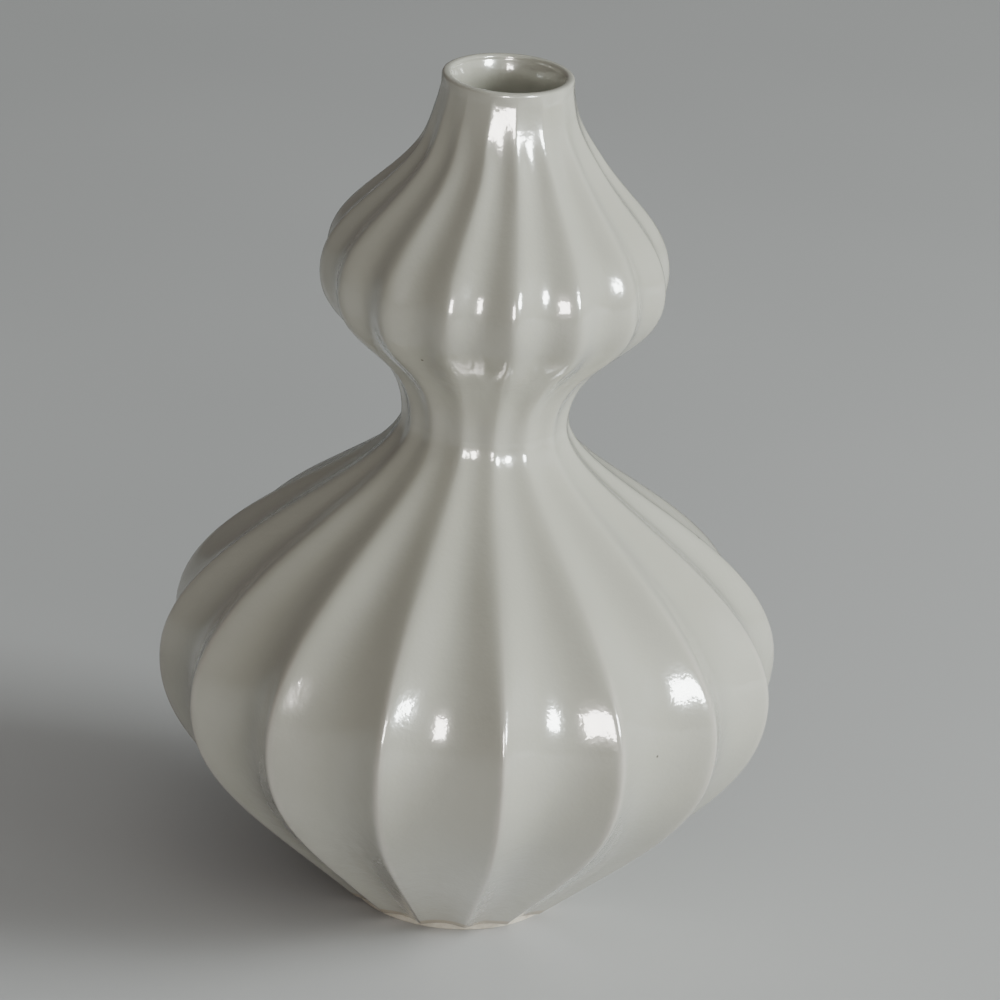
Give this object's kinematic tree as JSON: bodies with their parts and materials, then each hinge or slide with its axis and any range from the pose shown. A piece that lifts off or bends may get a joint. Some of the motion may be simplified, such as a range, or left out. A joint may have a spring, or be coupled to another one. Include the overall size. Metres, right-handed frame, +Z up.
{
  "type": "gourd vase",
  "caption": "Fluted double-gourd vase with a large lower bulb, a narrow waist, a smaller upper bulb, a short neck and a round open mouth.",
  "frame": {"origin": "centre of the standing face, at the bottom of the foot ring", "axes": "+Z up along the axis of the vase, out of its mouth; the front faces -Y, and the edge between two flutes that is nearest to it is turned 7.7 degrees towards +X"},
  "size_m": [0.1764, 0.1764, 0.25],
  "materials": {
    "glaze": "glossy, even, pale warm grey glaze, inside and out",
    "bare_clay": "unglazed fired clay, matt, on the ring that the vase stands on"
  },
  "bodies": {
    "root": {"foot_ring": "bare_clay", "floor_disc": "glaze", "lower_bulb": "glaze", "waist_coil": "glaze", "upper_bulb": "glaze", "mouth_collar": "glaze"}
  },
  "joints": []
}
